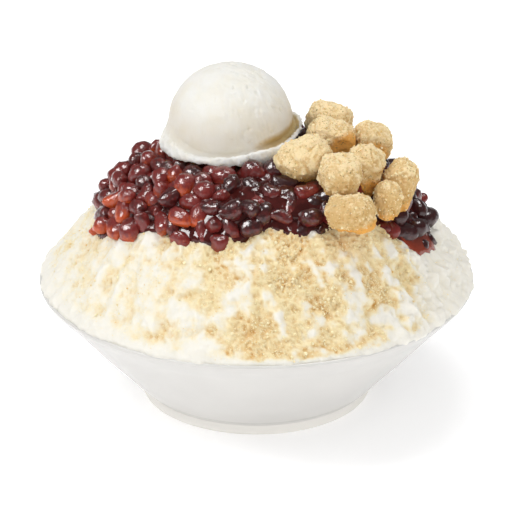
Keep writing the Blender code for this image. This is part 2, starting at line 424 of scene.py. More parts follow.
def bean_skin(inner_share, angle, sink, drawn_in=0.0):
    """A point on the bean heap's skin, sunk by sink and with its edge drawn in by a share of the way to
    the rim. inner_share is 1 at the foot of its blunt edge."""
    share = inner_share * (bean_outline(angle) - drawn_in)
    depth = BEAN_DEPTH + BEAN_EDGE_DEPTH * inner_share**2 - sink
    rounded = np.sqrt(np.maximum(0.0, 1.0 - inner_share**10))
    return heap_point(share, angle, depth * rounded)


def flour_cover(places, coarse):
    """How thickly soybean flour lies, 0 to 1: most to the right of the middle, in drifts and in the
    valleys of the coarse relief, little on the left and least at the far right. Inside the rim it leaves
    a clear band, which is wider on the left."""
    x = places[..., 0]
    middle = np.exp(-0.5 * ((x - FLOUR_MIDDLE) / FLOUR_SPREAD) ** 2)
    amount = (0.34 + 0.76 * middle) * (1.0 - 0.85 * step_between(*FLOUR_FADE, x))
    drifts = 0.66 + 0.7 * layered_noise(places, 13.0 * MM, 40, 2)
    drifts = drifts + 0.5 * layered_noise(places, 4.5 * MM, 44, 2) - 0.28 * coarse / MM
    angle = np.arctan2(places[..., 1], x)
    left = np.exp(-(((np.abs(angle) - np.pi) / 1.1) ** 2))
    clear = (1.0 + 4.5 * left + 1.2 * noise(places, 5.0 * MM, 47)) * MM
    inside = SNOW_REACH - np.hypot(x, places[..., 1])
    band = step_between(0.0, 1.0, (inside - 0.3 * clear) / clear.clip(0.6 * MM))
    return np.clip(amount * drifts, 0.0, 1.0) * band


# Settings

def colour_property(name, text, hex_colour):
    """A colour setting."""
    default = linear(hex_colour)
    limits = {"min": 0.0, "max": 1.0}
    return FloatVectorProperty(name=name, description=text, default=default, subtype="COLOR", **limits)


def length_property(name, text, default):
    """A length setting, in metres."""
    return FloatProperty(name=name, description=text, default=default, unit="LENGTH", min=0.0)


def count_property(name, text, default):
    """A setting for how many there are."""
    return IntProperty(name=name, description=text, default=default, min=1)


class BowlSettings(bpy.types.PropertyGroup):
    """Sizes and colours of the bowl"""

    glaze: colour_property("Glaze", "Colour of the glazed porcelain", "#D3D1CD")
    # The unglazed foot ring, painted lighter than the glaze as painted light
    clay_and_light: colour_property("Clay", "Colour of the bare clay of the foot ring", "#EDEAE4")
    rim_radius: length_property("Rim radius", "From the axis to the outside of the lip", RIM_RADIUS)
    height: length_property("Height", "From the table to the top of the lip", BOWL_HEIGHT)


class SnowSettings(bpy.types.PropertyGroup):
    """Colours and relief of the snow"""

    snow: colour_property("Snow", "Colour of the frozen milk", "#E7E4DB")
    dusted: colour_property("Dusted snow", "Colour of snow with flour in it", "#EDDFB4")
    # Golden flour gathered in the hollows, darkened as painted shade
    golden: colour_property("Golden snow", "Colour of the hollows where flour gathers", "#CF9A48")
    streak_height: length_property("Streaks", "Height of the streaks that run down the heap", 2.8 * MM)
    clump_height: length_property("Clumps", "Height of the clumps of snow", 1.6 * MM)
    grain_height: length_property("Grain", "Height of the finest relief", 1.35 * MM)


class FlourSettings(bpy.types.PropertyGroup):
    """Colours, size and number of the grains and lumps of flour"""

    pale: colour_property("Pale flour", "Colour of the palest grains", "#F3EAC6")
    roasted: colour_property("Roasted flour", "Colour of the most roasted grains", "#DEB66E")
    grains: count_property("Grains", "How many fine grains lie on the snow", 12000)
    grain_radius: length_property("Grain radius", "Half of a fine grain's width", 0.2 * MM)
    lumps: count_property("Lumps", "How many lumps of flour lie on the snow", 1200)
    lump_radius: length_property("Lump radius", "Half of a usual lump's width", 0.42 * MM)


class BeanSettings(bpy.types.PropertyGroup):
    """Sizes and colours of the beans and their syrup"""

    dark: colour_property("Dark beans", "Skin of the darkest beans", "#361112")
    red: colour_property("Red beans", "Skin of the red beans", "#782420")
    # The amber is partly a painted glow of light through the skins' undersides
    amber: colour_property("Amber beans", "Skin of the lightest beans", "#C04E20")
    # Partly a painted sheen on the skins
    film: colour_property("Starchy film", "Colour of the starch and syrup on the skins", "#C79C8E")
    syrup: colour_property("Syrup", "Colour of the syrup between the beans", "#3A1412")
    thin_syrup: colour_property("Thin syrup", "Colour of syrup that runs over the snow", "#8A3A28")
    length: length_property("Length", "A usual bean's length", 10.9 * MM)
    width: length_property("Width", "A usual bean's width", 9.2 * MM)


class ScoopSettings(bpy.types.PropertyGroup):
    """Sizes and colours of the ice cream"""

    cream: colour_property("Cream", "Colour of the vanilla ice cream", "#E1E0DB")
    # Flour and painted shade in the crease on the right, and painted shade on the lower part of the ball
    dust_and_shade: colour_property("Dusting", "Colour of the flour that has fallen into its crease", "#B99C62")
    radius: length_property("Radius", "Radius of the ball", SCOOP_RADIUS + 0.4 * MM)
    skirt_radius: length_property("Skirt radius", "From the axis to the skirt's edge", SKIRT_RADIUS)


class CakeSettings(bpy.types.PropertyGroup):
    """Colours and coat of the rice cakes"""

    flour: colour_property("Flour", "Colour of the flour coat", "#D2B078")
    # Painted light and shade of the floured crust: lit flour on tops and ridges, shade in the crevices
    lit_flour: colour_property("Pale flour", "Colour of the thickest flour", "#EBD5A8")
    crevice_shade: colour_property("Crevices", "Colour between the crumbs of the coat", "#BC9150")
    # A painted golden glow of light bounced between the cakes
    golden_glow: colour_property("Dough", "Colour of the dough where the flour is thin", "#DFA14E")
    specks: colour_property("Specks", "Colour of the bits of roasted hull", "#94804F")
    crust_height: length_property("Crust", "Height of the flour coat's relief", 0.9 * MM)
    loose: count_property("Loose flour", "How many crumbs of flour lie on each cake", 220)


class StageSettings(bpy.types.PropertyGroup):
    """The floor's colour and the camera"""

    floor: colour_property("Floor", "Colour of the floor", "#FCFCFD")
    distance: length_property("Camera distance", "From the camera to what it looks at", 1.3)
    elevation: FloatProperty(
        name="Elevation",
        description="How steeply the camera looks down",
        default=math.radians(23.75),
        subtype="ANGLE",
    )
    lens: FloatProperty(name="Lens", description="Focal length in millimetres", default=203.4)


class BingsuSettings(bpy.types.PropertyGroup):
    """All the settings, by piece"""

    bowl: PointerProperty(type=BowlSettings, name="Bowl", description="The porcelain bowl")
    snow: PointerProperty(type=SnowSettings, name="Snow", description="The heap of milk snow")
    flour: PointerProperty(type=FlourSettings, name="Flour", description="The roasted soybean flour")
    beans: PointerProperty(type=BeanSettings, name="Beans", description="The sweet beans and syrup")
    scoop: PointerProperty(type=ScoopSettings, name="Ice cream", description="The scoop of ice cream")
    cakes: PointerProperty(type=CakeSettings, name="Rice cakes", description="The floured rice cakes")
    stage: PointerProperty(type=StageSettings, name="Stage", description="Floor, lights and camera")


# Bowl

def porcelain(settings):
    """White glazed porcelain, fired: the eye gets a clean hard gloss whose reflections wander a little
    with the glaze's thickness, and a mat foot ring, where the glaze was wiped off, that is painted
    lighter than the glaze as painted light."""
    finish = {"Roughness": 0.2, "IOR": 1.5, "Specular IOR Level": 0.2}
    material, shader = new_material("glazed porcelain", finish)
    cloud = between(material, pattern(material, 30.0 * MM), 0.35, 0.65)
    warm = tuple(0.97 * channel for channel in settings.glaze)
    glaze = mixed(material, cloud, settings.glaze, warm)
    # Painted light: the unglazed foot ring is lighter than the glaze
    bare = attribute(material, "bare_clay_and_light")
    colour_from(material, shader, mixed(material, bare, glaze, settings.clay_and_light))
    roughness = calculate(material, "MULTIPLY_ADD", bare, 0.5)
    roughness.node.inputs[2].default_value = 0.2
    material.node_tree.links.new(roughness, shader.inputs["Roughness"])
    add_bump(material, shader, pattern(material, 14.0 * MM, 1.0), 0.15 * MM, 0.5)
    return material


def smooth_profile(corners, per_span):
    """Points along a smooth curve through (radius, height) corners, per_span to each span. At a corner
    it runs along the mean of the two spans' directions, at a speed equal to each span's length."""
    corners = np.array(corners)
    spans = np.diff(corners, axis=0)
    length = np.linalg.norm(spans, axis=1)[:, None]
    ways = spans / length
    bends = ways[:-1] * length[1:] + ways[1:] * length[:-1]
    bends /= np.linalg.norm(bends, axis=1)[:, None]
    leave = np.vstack([ways[:1], bends])[:, None] * length[:, None]
    arrive = np.vstack([bends, ways[-1:]])[:, None] * length[:, None]
    t = (np.arange(per_span) / per_span)[None, :, None]
    curve = (
        (2 * t**3 - 3 * t**2 + 1) * corners[:-1, None]
        + (t**3 - 2 * t**2 + t) * leave
        + (3 * t**2 - 2 * t**3) * corners[1:, None]
        + (t**3 - t**2) * arrive
    )
    return np.vstack([curve.reshape(-1, 2), corners[-1]])


def bowl_profile(settings):
    """(radius, height) points from the middle of the floor up the inside, over the lip and down the
    outside to the middle of the foot's recess, worked out in millimetres."""
    rim = settings.rim_radius / MM
    top = settings.height / MM
    floor = [(0.5, 8.0), (30.0, 8.0), (48.0, 9.6), (57.0, 15.0)]
    inside = [(rim - 12.5, top - 10.5), (rim - 2.0, top - 1.2)]
    lip = [(rim - 1.5, top - 0.3), (rim - 0.9, top), (rim - 0.3, top - 0.25), (rim, top - 0.9)]
    outside = [(rim - 0.7, top - 2.0), (rim - 9.0, top - 11.0), (rim - 23.0, 0.51 * top), (60.0, 14.0)]
    foot = [(54.0, 7.4), (51.3, 5.0), (51.2, 1.2), (50.6, 0.15), (49.0, 0.0), (46.9, 0.1)]
    recess = [(45.8, 1.8), (44.0, 2.5), (20.0, 2.5), (0.5, 2.5)]
    return MM * smooth_profile(floor + inside + lip + outside + foot + recess, 6)


class BINGSU_OT_bowl(bpy.types.Operator):
    """Turns the porcelain bowl from one profile"""

    bl_idname = "bingsu.bowl"
    bl_label = "Make the bowl"

    def execute(self, context):
        settings = context.scene.bingsu.bowl
        profile = bowl_profile(settings)
        radius = profile[:, 0, None]
        angle = turn(BOWL_COLUMNS)
        height = np.broadcast_to(profile[:, 1, None], (len(profile), len(angle)))
        grid = np.stack([radius * np.cos(angle), radius * np.sin(angle), height], axis=-1)
        points, faces = closed_surface(grid, (0.0, 0.0, profile[0, 1]), (0.0, 0.0, profile[-1, 1]))
        outer = np.hypot(points[:, 0], points[:, 1]) > BARE_CLAY_RADIUS
        values = {"bare_clay_and_light": outer & (points[:, 2] < BARE_CLAY_HEIGHT)}
        new_piece("porcelain_bowl", points, faces, porcelain(settings), ["bowl"], values)
        return {"FINISHED"}


# Snow

def milk_snow(settings):
    """Frozen milk shaved as fine as snow: soft, mat and bright, with light that sinks in a little and
    flour that stains it pale yellow in drifts. The grain is drawn coarser than real, so that it shows."""
    finish = {"Roughness": 0.62, "IOR": 1.31, **sunk_light(0.35, (3.0, 3.0, 3.0))}
    material, shader = new_material("milk snow", finish)
    speckle = calculate(material, "MULTIPLY", pattern(material, 1.6 * MM, 3.0, 0.6), 0.36)
    cover = calculate(material, "ADD", attribute(material, "flour"), speckle)
    stained = mixed(material, between(material, cover, 0.1, 0.85), settings.snow, settings.dusted)
    thick = between(material, cover, 0.35, 0.9)
    # Painted shade: where thick flour lies, the hollows are darkened golden, as well as holding gathered
    # flour
    deep = calculate(material, "MULTIPLY", attribute(material, "hollow_flour_and_shade"), thick)
    colour_from(material, shader, mixed(material, deep, stained, settings.golden))
    add_bump(material, shader, pattern(material, 0.9 * MM, 4.0, 0.65), 0.3 * MM, 0.7)
    return material


def coarse_relief(settings, places, share, angle):
    """How far the snow's large forms stand proud of the smooth heap: soft streaks that run down the
    slope, a little to the right, with clumps between them, and icy shards at the far right. All fade out
    under the beans and the syrup."""
    twist = angle - 0.35 * share
    along = np.stack([84.0 * MM * np.cos(twist), 84.0 * MM * np.sin(twist), 45.0 * MM * share], axis=-1)
    streaks = noise(along, 10.0 * MM, 3) + 0.45 * noise(along, 5.0 * MM, 4)
    clumps = layered_noise(places, 7.5 * MM, 8, 3)
    icy = step_between(50.0 * MM, 66.0 * MM, places[..., 0])
    shards = np.abs(noise(places, 8.0 * MM, 26)) + 0.6 * np.abs(noise(places, 3.6 * MM, 27))
    clumps = clumps + 2.6 * icy * shards
    front = 0.75 + 0.25 * np.cos(angle + 0.9)
    bare = step_between(-0.12, 0.0, share - bean_outline(angle) - 2.5 * syrup_reach(angle))
    return front * bare * (settings.streak_height * streaks + settings.clump_height * clumps)


def fine_relief(settings, places, cover):
    """The snow's fine grain: thin crumbly ridges with round hollows between them, tall where flour lies
    and low elsewhere. It also gives how much golden flour and painted shade lie at each place, 0 to 1:
    most in the hollows, in broad patches."""
    ridges = 1.0 - 1.7 * np.abs(noise(places, 3.4 * MM, 14))
    ridges = 0.6 * ridges + 0.4 - 0.95 * np.abs(noise(places, 1.8 * MM, 19))
    ridges = ridges - 0.45 * np.abs(noise(places, 1.1 * MM, 23))
    broad = 0.4 + 0.6 * step_between(-0.25, 0.35, noise(places, 12.0 * MM, 29))
    hollow_flour_and_shade = broad * np.clip(0.85 - 0.85 * ridges, 0.15, 1.0)
    return settings.grain_height * (0.18 + 1.1 * cover) * (ridges - 0.3), hollow_flour_and_shade


def snow_grid(settings):
    """The snow's face as a grid, how thickly flour lies on it, and how much golden flour and painted shade
    lie in its hollows. The rings lie closer together outside the beans' middle. At the lip the snow rises
    a little and spills out over the bowl's edge, unevenly."""
    rings = np.concatenate([np.linspace(0.03, 0.52, 10, endpoint=False), np.linspace(0.52, 1.0, 106)])
    share, angle = net(rings, turn(SNOW_COLUMNS))
    smooth = heap_point(share, angle)
    coarse = coarse_relief(settings, smooth, share, angle)
    cover = flour_cover(smooth, coarse)
    fine, hollow_flour_and_shade = fine_relief(settings, smooth, cover)
    brim = step_between(BRIM_START, 1.0, share)
    relief = (1.0 - 0.45 * brim) * (coarse + fine)
    grid = smooth + relief[..., None] * normals_of(smooth)
    spill = noise(smooth, 6.0 * MM, 30) + 0.6 * noise(smooth, 2.2 * MM, 31)
    grid[..., 2] += (1.2 + 0.5 * spill) * MM * brim
    grid[-1, :, 2] -= 0.4 * MM
    grid[..., :2] *= 1.0 + (brim * (0.0172 + 0.005 * np.clip(spill, -1.0, 0.6)))[..., None]
    return grid, cover, hollow_flour_and_shade


class BINGSU_OT_snow(bpy.types.Operator):
    """Heaps the milk snow, which ends unseen a little way down inside the bowl"""

    bl_idname = "bingsu.snow"
    bl_label = "Make the snow"

    def execute(self, context):
        settings = context.scene.bingsu.snow
        grid, cover, hollow_flour_and_shade = snow_grid(settings)
        tuck = grid[-1] * (0.989, 0.989, 1.0) - (0.0, 0.0, 1.9 * MM)
        wall = grid[-1] * (0.82, 0.82, 1.0) - (0.0, 0.0, SNOW_END)
        top = heap_point(np.array(0.0), np.array(0.0))
        base = (0.0, 0.0, SNOW_BASE - SNOW_END)
        points, faces = closed_surface(np.concatenate([grid, [tuck, wall]]), top, base)
        unseen = ((0, 2), (0, 0))
        values = {"flour": with_poles(np.pad(cover, unseen)), "hollow_flour_and_shade": with_poles(np.pad(hollow_flour_and_shade, unseen))}
        new_piece("milk_snow", points, faces, milk_snow(settings), ["shaved_ice"], values)
        return {"FINISHED"}


# Soybean flour

def icosahedron():
    """Its twelve corners, on the unit ball, and its twenty faces turned outwards."""
    golden = (1.0 + 5.0**0.5) / 2.0
    signs = [(-1, golden), (1, golden), (-1, -golden), (1, -golden)]
    corners = [(a, b, 0) for a, b in signs] + [(0, a, b) for a, b in signs] + [(b, 0, a) for a, b in signs]
    corners = np.array(corners, float)
    length = np.linalg.norm(corners, axis=1)[0]
    faces = []
    for trio in itertools.combinations(range(12), 3):
        a, b, c = corners[list(trio)]
        sides = [np.linalg.norm(a - b), np.linalg.norm(b - c), np.linalg.norm(c - a)]
        if max(sides) < 2.01:
            outward = np.dot(np.cross(b - a, c - a), a) > 0.0
            faces.append(trio if outward else trio[::-1])
    return corners / length, faces


def places_on(grid, weight, count, rng):
    """count places on a grid's faces, chosen by weight times area, with the faces' normals."""
    first, second = grid[:-1], grid[1:]
    across = np.roll(first, -1, axis=1) - first
    down = second - first
    normal = np.cross(down, across)
    area = np.linalg.norm(normal, axis=2)
    chance = (area * weight).ravel()
    picked = rng.choice(len(chance), count, p=chance / chance.sum())
    u, v = rng.random((2, count, 1))
    at = first.reshape(-1, 3)[picked] + u * down.reshape(-1, 3)[picked] + v * across.reshape(-1, 3)[picked]
    normal = (normal / np.maximum(area, 1e-15)[..., None]).reshape(-1, 3)[picked]
    return at, normal


def octahedron():
    """Its six corners, on the unit ball, and its eight faces turned outwards."""
    corners = np.vstack([np.eye(3), -np.eye(3)])
    faces = []
    for x, y, z in itertools.product((0, 3), (1, 4), (2, 5)):
        outward = np.linalg.det(corners[[x, y, z]]) > 0.0
        faces.append((x, y, z) if outward else (z, y, x))
    return corners, faces


def lumps(solid, places, radii, rng, flatness=0.75):
    """Small uneven lumps: the solid with each corner moved in or out, stretched and turned at random."""
    corners, faces = solid
    count = len(places)
    shapes = corners[None] * (1.0 + 0.30 * rng.uniform(-1.0, 1.0, (count, len(corners), 1)))
    stretch = rng.uniform(flatness, 1.25, (count, 1, 3))
    shapes = np.einsum("nij,nkj->nki", random_turns(rng, count), shapes * stretch)
    return joined(places[:, None] + radii[:, None, None] * shapes, faces)


def soybean_flour(settings):
    """Soybeans roasted and ground: dry and mat, each grain between cream and toasted gold. The grains
    are drawn coarser than real flour, so that they show."""
    finish = {"Roughness": 0.95, "IOR": 1.4, **sunk_light(0.4, (1.0, 0.9, 0.7), 0.5 * MM)}
    material, shader = new_material("roasted soybean flour", finish)
    roast = attribute(material, "roast")
    colour_from(material, shader, mixed(material, roast, settings.pale, settings.roasted))
    add_bump(material, shader, pattern(material, 0.5 * MM, 2.0), 0.1 * MM, 0.6)
    return material


class BINGSU_OT_flour(bpy.types.Operator):
    """Scatters grains and lumps of soybean flour over the bare snow"""

    bl_idname = "bingsu.flour"
    bl_label = "Scatter the flour"

    def execute(self, context):
        flour = context.scene.bingsu.flour
        grid, cover, _ = snow_grid(context.scene.bingsu.snow)
        cover = cover[:-1]
        share, angle = share_and_angle(grid[:-1, :, 0], grid[:-1, :, 1])
        bare = step_between(-0.05, 0.0, share - bean_outline(angle))
        rng = np.random.default_rng(21)
        dust = soybean_flour(flour)
        for name, solid, weight, count, size in (
            ("soybean_flour_grains", octahedron(), cover**1.2, flour.grains, flour.grain_radius),
            ("soybean_flour_lumps", icosahedron(), cover**2.0, flour.lumps, flour.lump_radius),
        ):
            places, normals = places_on(grid, bare * weight, count, rng)
            radii = size * rng.lognormal(0.0, 0.3, count).clip(0.4, 2.0)
            points, faces = lumps(solid, places + 0.3 * radii[:, None] * normals, radii, rng)
            roast = rng.beta(1.2, 3.4, count).repeat(len(solid[0]))
            new_piece(name, points, faces, dust, attributes={"roast": roast}, smooth=False)
        return {"FINISHED"}


# Beans and syrup

def bean_skin_material(settings):
    """Adzuki beans boiled in syrup: skins from aubergine to brick red and amber, wet and glossy, with
    wrinkles that break the light into glints, and patches of starchy film. The amber is partly a painted
    glow of light shining through the skins' undersides, and the film is partly a painted sheen."""
    finish = {
        "Roughness": 0.4,
        "IOR": 1.4,
        "Specular IOR Level": 0.3,
        "Coat Weight": 1.0,
        "Coat Roughness": 0.05,
        "Coat IOR": 1.5,
        **sunk_light(0.07, (3.0, 0.8, 0.4)),
    }
    material, shader = new_material("sweet red bean skin", finish)
    mottle = calculate(material, "MULTIPLY", pattern(material, 2.6 * MM, 4.0, 0.6), 0.9)
    # The tone carries a painted glow: undersides redder and lighter, as if light shone through the skins
    tone = calculate(material, "ADD", attribute(material, "redness_and_glow"), mottle)
    low = mixed(material, between(material, tone, 0.4, 0.95), settings.dark, settings.red)
    skin = mixed(material, between(material, tone, 1.05, 1.5), low, settings.amber)
    # Pale patches of starchy film, partly a painted sheen
    film = between(material, pattern(material, 2.2 * MM, 5.0, 0.7, 1.2, (7.0, 3.0, 5.0)), 0.60, 0.76)
    film = calculate(material, "MULTIPLY", film, 0.5)
    colour_from(material, shader, mixed(material, film, skin, settings.film))
    add_bump(material, shader, pattern(material, 3.2 * MM, 3.0, 0.55, 0.8), 0.7 * MM, 0.75)
    wrinkles = shader.inputs["Normal"].links[0].from_socket
    material.node_tree.links.new(wrinkles, shader.inputs["Coat Normal"])
    return material


def syrup_material(settings):
    """Thick red bean syrup: dark, smooth and very glossy, with mashed skins that make it uneven, and
    clear reddish brown where it runs out thin over the snow."""
    finish = {"Roughness": 0.08, "IOR": 1.45}
    material, shader = new_material("red bean syrup", finish)
    thick = between(material, pattern(material, 5.0 * MM, 2.0), 0.35, 0.7)
    lighter = tuple(1.9 * channel for channel in settings.syrup)
    deep = mixed(material, thick, settings.syrup, lighter)
    colour_from(material, shader, mixed(material, attribute(material, "thin"), deep, settings.thin_syrup))
    add_bump(material, shader, pattern(material, 3.0 * MM, 3.0), 0.5 * MM, 0.5)
    return material


def covered(places, radius):
    """True where a bean of this radius would stand in a rice cake or in the scoop's room."""
    hit = np.zeros(len(places), bool)
    for name in RICE_CAKES:
        low, high = (np.array(corner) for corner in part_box(name))
        apart = (places - (low + high) / 2.0) / ((high - low) / 2.0 + 0.55 * radius)
        hit |= (apart**2).sum(axis=1) < 0.9
    local = (places - SCOOP_SEAT) @ SCOOP_TURN
    under = local[:, 2] > -SKIRT_THICKNESS - 0.7 * radius
    return hit | (under & (np.hypot(local[:, 0], local[:, 1]) < SKIRT_RADIUS + 0.5 * radius))


def pick_apart(candidates, kept, spacing):
    """Goes through candidates in turn and keeps each that is at least spacing from all kept so far."""
    kept = list(kept)
    chosen = []
    for number, place in enumerate(candidates):
        if not kept or np.min(((np.array(kept) - place) ** 2).sum(axis=1)) > spacing**2:
            kept.append(place)
            chosen.append(number)
    return chosen


def bean_places(rng, radius):
    """Centres and normals of beans in three layers under the heap's skin, each bean kept a share of its
    own width from the others."""
    inner, angle = net(1.0 - (1.0 - np.linspace(0.02, 1.0, 90)) ** 1.6, turn(240))
    found_places, found_normals = np.zeros((0, 3)), np.zeros((0, 3))
    for sink, apart in BEAN_LAYERS:
        grid = bean_skin(inner, angle, sink, 0.5 * sink / SNOW_REACH)
        places, normals = places_on(grid, 1.0, 5000, rng)
        places = places - (radius * 0.75 + rng.normal(0.0, 0.8 * MM, (len(places), 1))) * normals
        clear = ~covered(places, radius)
        places, normals = places[clear], normals[clear]
        chosen = pick_apart(places, found_places, apart * radius)
        found_places = np.vstack([found_places, places[chosen]])
        found_normals = np.vstack([found_normals, normals[chosen]])
    return found_places, found_normals


def bean_shapes(settings, rng, places, normals):
    """One bean at each place: a ball stretched to a barrel with blunt ends, narrower at one end, bent,
    creased and wrinkled, and laid along the heap with its long way along its own Z."""
    count = len(places)
    points, faces = closed_surface(ball_grid(7, 12), (0.0, 0.0, 1.0), (0.0, 0.0, -1.0))
    blunt = np.sign(points) * np.abs(points) ** 0.9
    size = rng.normal(1.0, 0.1, (count, 1)).clip(0.84, 1.2)
    width = settings.width * size * rng.uniform(0.84, 1.04, (count, 1))
    lengths = np.stack([width, width * rng.uniform(0.8, 1.0, (count, 1)), settings.length * size], axis=-1)
    lengths[..., 2] *= rng.uniform(0.8, 1.2, (count, 1))
    shapes = blunt[None] * lengths / 2.0
    narrow = rng.normal(0.0, 0.16, (count, 1)) * points[:, 2]
    shapes[..., :2] *= (1.0 + narrow)[..., None]
    bend = rng.uniform(-0.2, 0.2, (count, 1)) * settings.width
    shapes[..., 0] += bend * (1.0 - 2.0 * points[None, :, 2] ** 2)
    around = np.arctan2(points[:, 1], points[:, 0])
    crease = np.cos(around - rng.uniform(-np.pi, np.pi, (count, 1))).clip(0.0) ** 8
    wrinkle = noise(points[None] + 9.0 * rng.random((count, 1, 3)), 0.7, 5)
    depth = rng.uniform(0.04, 0.2, (count, 1))
    shapes *= (1.0 + depth * wrinkle - 0.8 * depth * crease)[..., None]
    along = np.cross(normals, rng.normal(size=(count, 3)))
    along += 0.45 * rng.normal(size=(count, 3)) * np.linalg.norm(along, axis=1, keepdims=True)
    along[:, 2] *= 0.55
    along /= np.linalg.norm(along, axis=1, keepdims=True)
    side = np.cross(along, normals + 0.2 * rng.normal(size=(count, 3)))
    side /= np.linalg.norm(side, axis=1, keepdims=True)
    turns = np.stack([np.cross(side, along), side, along], axis=-1)
    shapes = np.einsum("nij,nkj->nki", turns, shapes)
    return shapes + places[:, None], faces


class BINGSU_OT_beans(bpy.types.Operator):
    """Lays the sweet beans over a core of syrup"""

    bl_idname = "bingsu.beans"
    bl_label = "Make the beans and syrup"

    def execute(self, context):
        settings = context.scene.bingsu.beans
        rng = np.random.default_rng(5)
        radius = settings.width / 2.0
        places, normals = bean_places(rng, radius)
        shapes, faces = bean_shapes(settings, rng, places, normals)
        # Painted glow: a bean's underside is redder and lighter than its top, as if light shone through
        # its skin. The beans on the left are redder
        below = (places[:, None, 2] - shapes[..., 2]) / settings.width
        redness_and_glow = rng.beta(0.9, 1.4, (len(places), 1)) * (0.9 + 0.9 * below) + 0.12 * below
        redness_and_glow = redness_and_glow + 0.2 * np.clip(-places[:, :1] / (50.0 * MM), -1.4, 1.0)
        points, every = joined(shapes, faces)
        material = bean_skin_material(settings)
        values = {"redness_and_glow": redness_and_glow.ravel()}
        new_piece("sweet_red_beans", points, every, material, attributes=values)
        self.make_syrup(settings, places)
        return {"FINISHED"}

    def make_syrup(self, settings, places):
        """The core of syrup under the beans, which creeps up round each of them, and the thin film that
        runs out from under them and ends in points where it has run down the snow."""
        inner, angle = net(np.linspace(0.02, 0.985, 90), turn(SYRUP_COLUMNS))
        right = step_between(-34.0 * MM, 0.0, bean_skin(inner, angle, 0.0)[..., 0])
        core = bean_skin(inner, angle, (7.4 - 2.6 * right) * MM, 0.045)
        core[..., 2] += 0.2 * MM + 0.6 * MM * layered_noise(core, 5.0 * MM, 50, 2)
        apart = np.linalg.norm(core[:, :, None] - places[None, None], axis=3)
        near = np.exp(-((apart / (4.2 * MM)) ** 2)).sum(axis=2).clip(0.0, 1.6)
        core[..., 2] += (1.2 + 0.3 * right) * MM * near * (1.0 - inner**6)
        out, angle = net(np.linspace(0.1, 1.0, 10), turn(SYRUP_COLUMNS))
        reach = syrup_reach(angle)
        share = bean_outline(angle) - 0.05 * (1.0 - out) - 0.02 + reach * out
        film = heap_point(share, angle)
        snow = bpy.context.scene.bingsu.snow
        film[..., 2] += coarse_relief(snow, film, share, angle) + (0.9 + 1.8 * (1.0 - out**2)) * MM
        film[-1, :, 2] -= 1.0 * MM
        low = film[-1:] * (0.97, 0.97, 1.0) - (0.0, 0.0, 3.0 * MM)
        grid = np.concatenate([core, film, low])
        thin = np.concatenate([np.zeros_like(inner), out * (reach > 0.02), np.ones_like(low[..., 0])])
        base = heap_point(np.array(0.0), np.array(0.0), -6.0 * MM)
        points, faces = closed_surface(grid, grid[0].mean(axis=0), base)
        material = syrup_material(settings)
        values = {"thin": with_poles(thin)}
        new_piece("red_bean_syrup", points, faces, material, ["red_beans"], values)


# Ice cream

def vanilla_ice_cream(settings):
    """Churned vanilla ice cream, scooped: cream coloured and satin, with light that sinks in, and fine
    pits and drag lines where the scoop dragged it."""
    finish = {"Roughness": 0.6, "IOR": 1.36, **sunk_light(0.7, (8.0, 7.4, 6.4))}
    material, shader = new_material("vanilla ice cream", finish)
    cloud = between(material, pattern(material, 9.0 * MM, 3.0), 0.3, 0.7)
    deep = tuple(channel * share for channel, share in zip(settings.cream, (0.97, 0.95, 0.90)))
    cream = mixed(material, cloud, settings.cream, deep)
    # Painted shade, with some flour: a tan colour in the crease on the right and on the lower part of the
    # ball
    flour = calculate(material, "MULTIPLY", attribute(material, "dusted"), 0.95)
    colour_from(material, shader, mixed(material, flour, cream, settings.dust_and_shade))
    add_bump(material, shader, pattern(material, 1.2 * MM, 4.0, 0.7), 0.2 * MM, 0.7)
    return material


def scoop_grid(settings):
    """The ball from its top down to the crease, then the skirt's upper face, edge and underside. Each
    row is a share of that profile. On the left the ball runs out into the skirt without a crease. The
    skirt's edge is ragged all round, and in front it hangs lower."""
    angle = turn(SCOOP_COLUMNS)
    ring = np.stack([np.cos(angle), np.sin(angle), 0.0 * angle], axis=-1)
    ragged = layered_noise(ring, 0.45, 60, 4)
    left = np.exp(-(((angle - math.radians(188.0)) / math.radians(42.0)) ** 2))
    degrees = np.degrees(angle)
    front = step_between(249.0, 257.0, degrees) * (1.0 - step_between(306.0, 330.0, degrees))
    front = front * (0.75 + 0.5 * step_between(268.0, 285.0, degrees))
    reach = settings.skirt_radius * (0.985 + 0.03 * ragged + 0.015 * left)
    edge_top = (0.9 + 2.8 * left + 0.8 * noise(ring, 0.4, 70)) * MM
    edge_low = -(0.3 + 3.3 * front + 0.6 * noise(ring, 0.3, 71)) * MM
    crease = math.radians(98.0) - math.radians(22.0) * left
    radius = settings.radius
    start = radius * np.sin(crease)
    level = SCOOP_LIFT + radius * np.cos(crease)
    rows = []
    for share in np.linspace(0.02, 1.0, BALL_ROWS):
        rows.append((radius * np.sin(crease * share), SCOOP_LIFT + radius * np.cos(crease * share)))
    for share in np.linspace(0.0, 1.0, SKIRT_ROWS)[1:]:
        dip = 1.3 * MM * math.sin(math.pi * min(1.0, 1.4 * share)) * (1.0 - 0.7 * left)
        rows.append((start + (reach - start) * share, level - dip - (level - edge_top) * share))
    for share in np.linspace(0.0, 1.0, EDGE_ROWS)[1:]:
        bulge = 0.5 * MM * math.sin(math.pi * share) * (1.0 + 0.8 * ragged)
        rows.append((reach + bulge, edge_top + (edge_low - edge_top) * share))
    for share in np.linspace(0.0, 0.95, UNDER_ROWS)[1:]:
        rows.append((reach * (1.0 - share), edge_low * (1.0 - share) - SKIRT_THICKNESS * share))
    return np.stack([np.stack([r * np.cos(angle), r * np.sin(angle), z], axis=-1) for r, z in rows])


